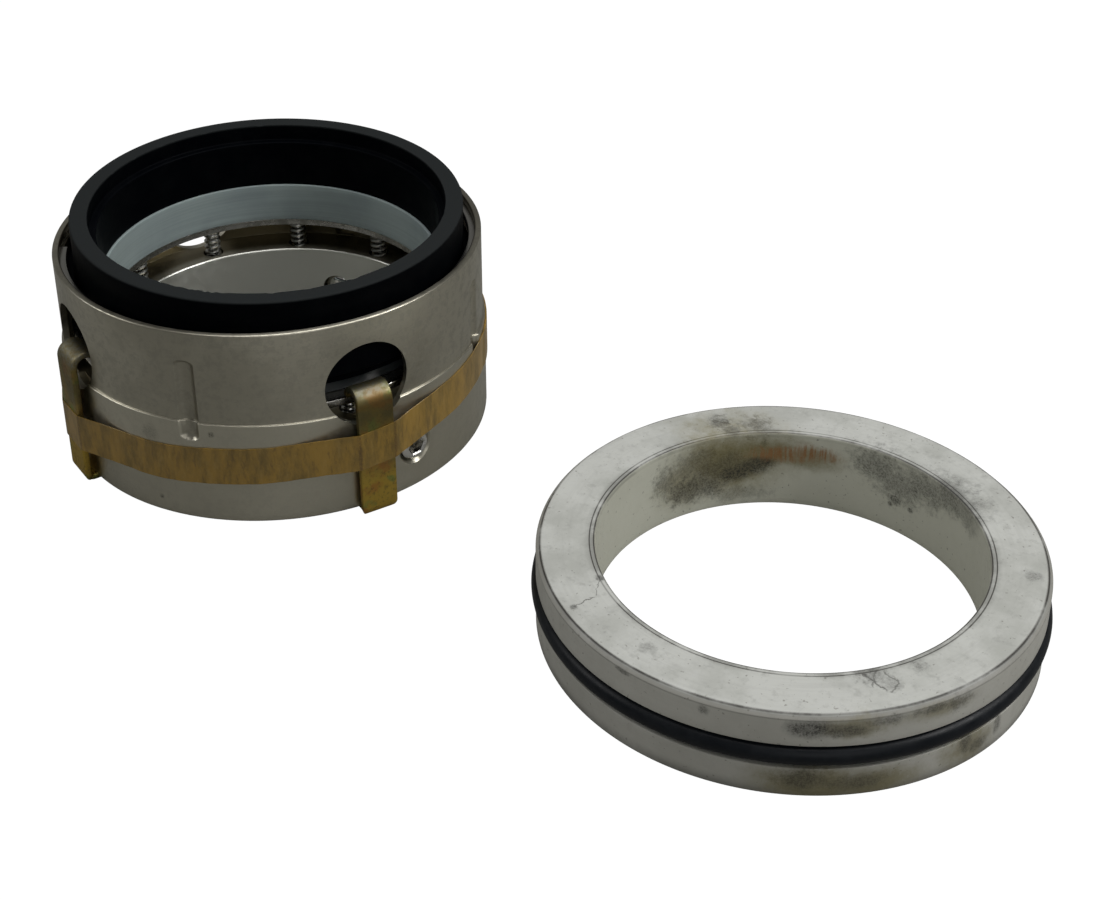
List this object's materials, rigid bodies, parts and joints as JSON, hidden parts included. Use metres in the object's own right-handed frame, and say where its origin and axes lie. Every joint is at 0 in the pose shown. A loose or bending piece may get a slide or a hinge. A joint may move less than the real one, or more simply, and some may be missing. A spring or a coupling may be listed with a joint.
{
  "type": "component mechanical seal",
  "caption": "Component mechanical seal for a rotating shaft: a multi-spring rotary head held back by setting clips and tape, with its separate stationary seat and O-ring.",
  "frame": {"origin": "centre of the retainer's back face, on the rotary head's shaft axis", "axes": "+Z along the shaft axis from the retainer's back face to the sealing faces; +X from the rotary head to the seat that stands beside it"},
  "size_m": [0.2007, 0.0872, 0.0479],
  "materials": {
    "stainless_steel": "turned and brushed, satin",
    "spring_steel_ring": "bright drawn wire",
    "disc_steel": "sheared and polished",
    "spring_wire": "bright drawn wire",
    "set_screw_steel": "bright stainless",
    "yellow_zinc_steel": "yellow chromate on zinc-plated steel, slightly iridescent",
    "amber_tape": "translucent amber film with adhesive",
    "carbon_graphite": "matt carbon, lapped nose face",
    "white_ptfe": "waxy white PTFE",
    "lapped_ceramic": "off-white fired ceramic with a lapped face",
    "black_rubber": "moulded elastomer"
  },
  "bodies": {
    "housing": {"retainer": "stainless_steel", "snap_ring": "spring_steel_ring", "spring_01": "spring_wire", "spring_02": "spring_wire", "spring_03": "spring_wire", "spring_04": "spring_wire", "spring_05": "spring_wire", "spring_06": "spring_wire", "spring_07": "spring_wire", "spring_08": "spring_wire", "spring_09": "spring_wire", "spring_10": "spring_wire", "spring_11": "spring_wire", "spring_12": "spring_wire", "set_screw_1": "set_screw_steel", "set_screw_2": "set_screw_steel", "set_screw_3": "set_screw_steel", "setting_clip_1": "yellow_zinc_steel", "setting_clip_2": "yellow_zinc_steel", "tape": "amber_tape", "seat_ring": "lapped_ceramic", "seat_o_ring": "black_rubber"},
    "face_stack": {"primary_ring": "carbon_graphite", "wedge": "white_ptfe", "disc": "disc_steel"}
  },
  "joints": [
    {"name": "face_travel", "type": "slide", "parent": "housing", "child": "face_stack", "axis": [0, 0, 1], "range_m": [-0.002, 0], "stiffness_N_per_m": 10000, "springref_m": 0.001, "deforming": ["spring_01", "spring_02", "spring_03", "spring_04", "spring_05", "spring_06", "spring_07", "spring_08", "spring_09", "spring_10", "spring_11", "spring_12"]}
  ]
}
